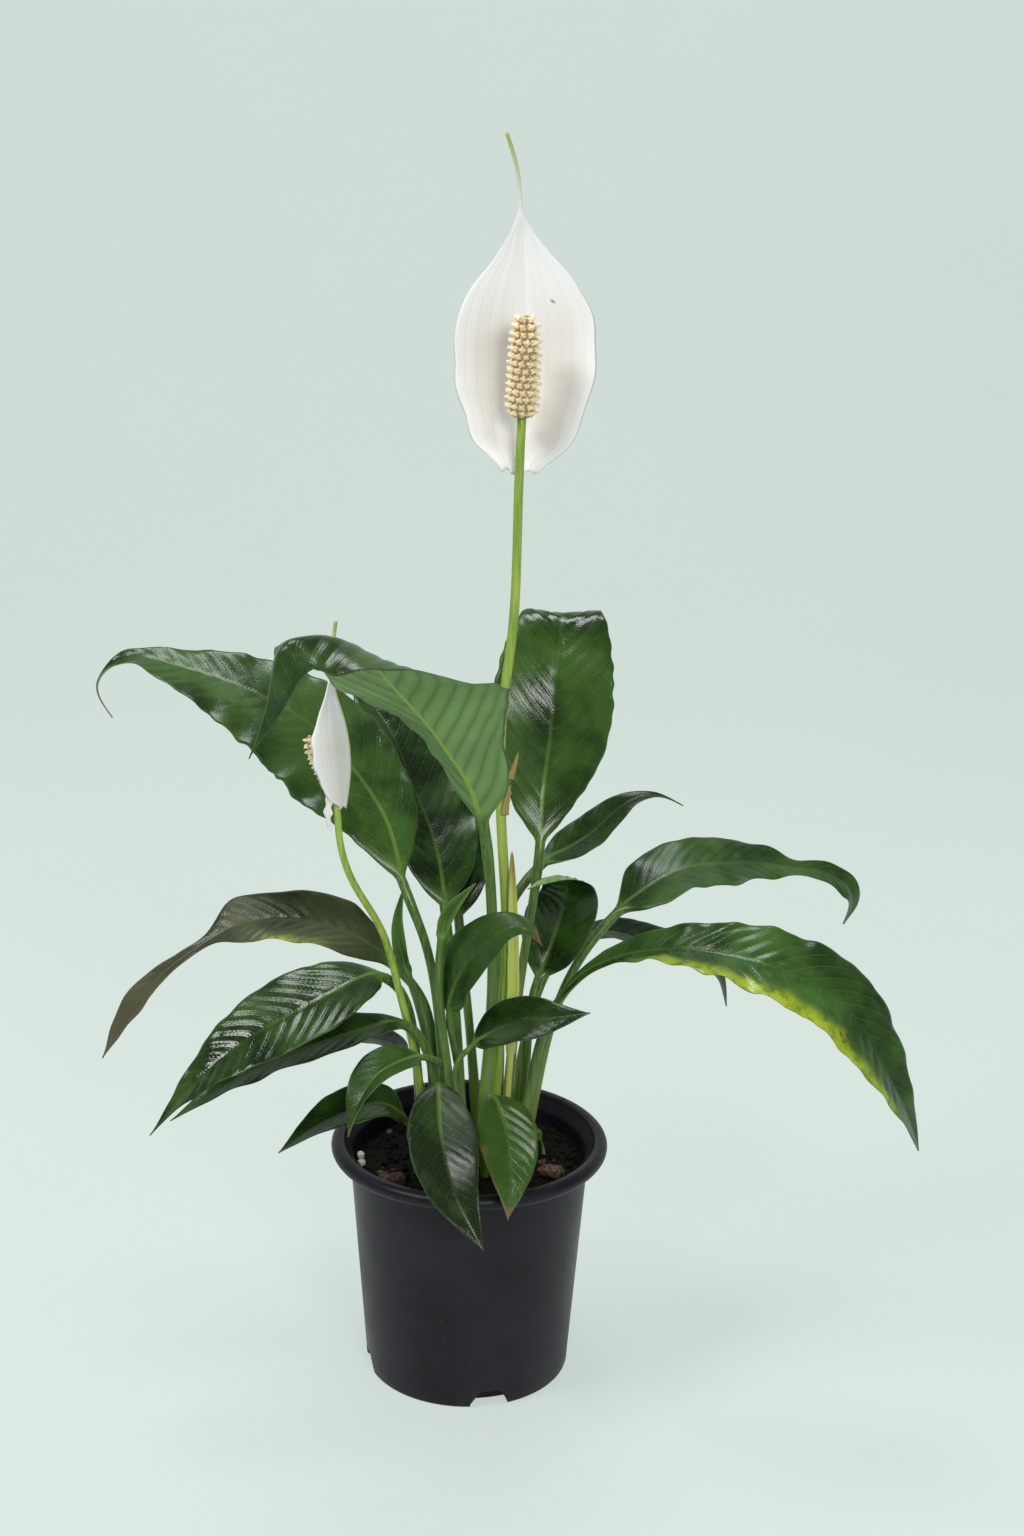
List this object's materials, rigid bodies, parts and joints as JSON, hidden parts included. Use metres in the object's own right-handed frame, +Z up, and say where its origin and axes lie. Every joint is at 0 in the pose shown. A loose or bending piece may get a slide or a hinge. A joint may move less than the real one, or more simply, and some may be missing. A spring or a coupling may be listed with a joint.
{
  "type": "potted peace lily",
  "caption": "Peace lily with arching green leaves and white hooded flowers, growing in a black nursery pot.",
  "frame": {"origin": "middle of the pot's flat underside", "axes": "+Z up, from the pot's underside towards the tip of the tall flower; the side seen in the picture faces -Y"},
  "size_m": [0.4098, 0.2473, 0.6153],
  "materials": {
    "pot": "satin charcoal black, moulded",
    "soil": "rough damp peat",
    "leaf": "waxy dark green, quilted between its side veins",
    "leaf_brown": "waxy green turning brown, with a yellow patch on its lower edge",
    "leaf_yellowing": "waxy mid green with a yellow-green lower edge",
    "leaf_pale": "pale green, still furled",
    "sheath": "thin, yellow-green, dry",
    "stem": "smooth lime green",
    "spathe": "soft white with a green-tipped tail",
    "spadix": "cream and tan, covered in small bumps",
    "bark": "rough broken bark",
    "perlite": "white, chalky"
  },
  "bodies": {
    "root": {"pot": "pot", "soil": "soil", "leaf_left_long": "leaf", "leaf_folded_over": "leaf", "leaf_upright": "leaf", "leaf_dark_back": "leaf", "leaf_dark_behind": "leaf", "leaf_left_brown": "leaf_brown", "leaf_left_glossy": "leaf", "leaf_left_under": "leaf", "leaf_rim_left": "leaf", "leaf_small_folded": "leaf", "leaf_front_drooping": "leaf", "leaf_front_right": "leaf", "leaf_small_right": "leaf", "leaf_centre": "leaf", "leaf_young_spear": "leaf_pale", "leaf_cupped_right": "leaf", "leaf_back_right": "leaf", "leaf_right_upper": "leaf", "leaf_right_large": "leaf_yellowing", "leaf_hidden_right": "leaf", "leaf_low_back": "leaf", "leaf_narrow_pale": "leaf_pale", "sheath_leaf": "sheath", "seedling": "leaf", "flower_stem_tall": "stem", "flower_stem_low": "stem", "spathe_tall": "spathe", "spathe_low": "spathe", "spadix_tall": "spadix", "spadix_low": "spadix", "bark_chip_front": "bark", "bark_chip_right": "bark", "bark_chip_back": "bark", "bark_chip_side": "bark", "perlite_left": "perlite", "perlite_front": "perlite"}
  },
  "joints": []
}
